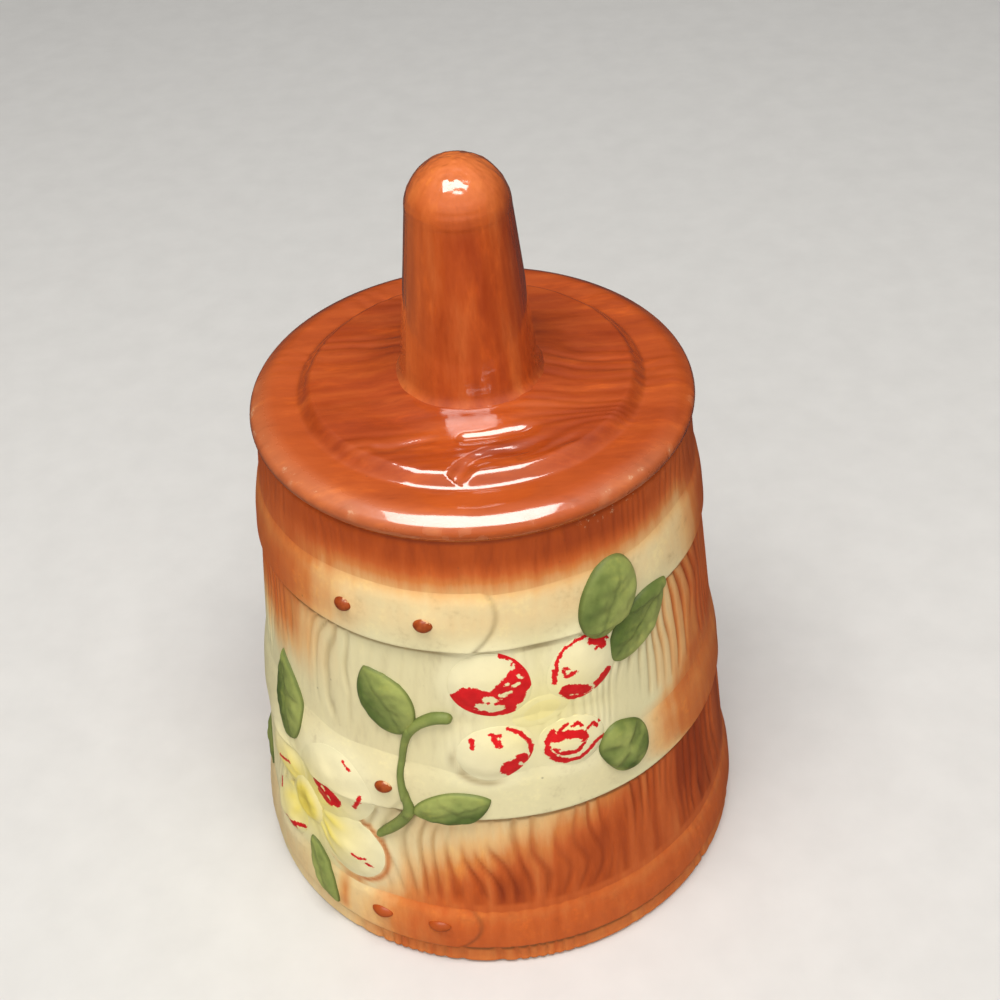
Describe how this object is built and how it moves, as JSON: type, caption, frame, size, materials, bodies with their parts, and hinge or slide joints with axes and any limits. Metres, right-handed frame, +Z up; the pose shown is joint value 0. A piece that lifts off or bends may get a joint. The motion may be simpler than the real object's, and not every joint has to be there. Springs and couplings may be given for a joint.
{
  "type": "cookie jar",
  "caption": "Tapered pottery cookie jar shaped like a hooped wooden tub, with a raised blossom sprig and a loose lid that lifts off by a tall round-topped handle.",
  "frame": {"origin": "middle of the foot, on the surface that the jar stands on", "axes": "+Z up along the jar's axis, -Y towards the front with the blossom, +X to the right seen from the front"},
  "size_m": [0.1556, 0.1556, 0.233],
  "materials": {
    "body_glaze": "satin cream glaze with airbrushed brown shading",
    "hoop_glaze": "satin cream glaze with airbrushed brown shading",
    "rivet_glaze": "satin brown",
    "petal_paint": "satin cream with worn red paint",
    "blossom_yellow": "satin yellow",
    "leaf_green": "satin olive green",
    "lid_glaze": "glossy orange brown"
  },
  "bodies": {
    "jar": {"jar_wall": "body_glaze", "upper_hoop": "hoop_glaze", "middle_hoop": "hoop_glaze", "lower_hoop": "hoop_glaze", "upper_hoop_rivet_1": "rivet_glaze", "upper_hoop_rivet_2": "rivet_glaze", "middle_hoop_rivet_1": "rivet_glaze", "lower_hoop_rivet_1": "rivet_glaze", "lower_hoop_rivet_2": "rivet_glaze", "right_blossom_centre": "blossom_yellow", "right_blossom_petal_1": "petal_paint", "right_blossom_petal_2": "petal_paint", "right_blossom_petal_3": "petal_paint", "right_blossom_petal_4": "petal_paint", "left_blossom_centre": "blossom_yellow", "left_blossom_petal_1": "petal_paint", "left_blossom_petal_2": "petal_paint", "left_blossom_petal_3": "petal_paint", "left_blossom_petal_4": "petal_paint", "right_leaf_round": "leaf_green", "right_leaf_pointed": "leaf_green", "front_leaf_upper": "leaf_green", "front_leaf_lower": "leaf_green", "left_leaf_upper": "leaf_green", "left_leaf_side": "leaf_green", "left_leaf_lower": "leaf_green", "round_bud": "leaf_green", "sprig_stem": "leaf_green"},
    "lid": {"lid_plate": "lid_glaze", "lid_locating_ring": "lid_glaze", "lid_handle": "lid_glaze"}
  },
  "joints": [
    {"name": "lid_lift", "type": "slide", "parent": "jar", "child": "lid", "axis": [0, 0, 1], "range_m": [0, 0.1]}
  ]
}
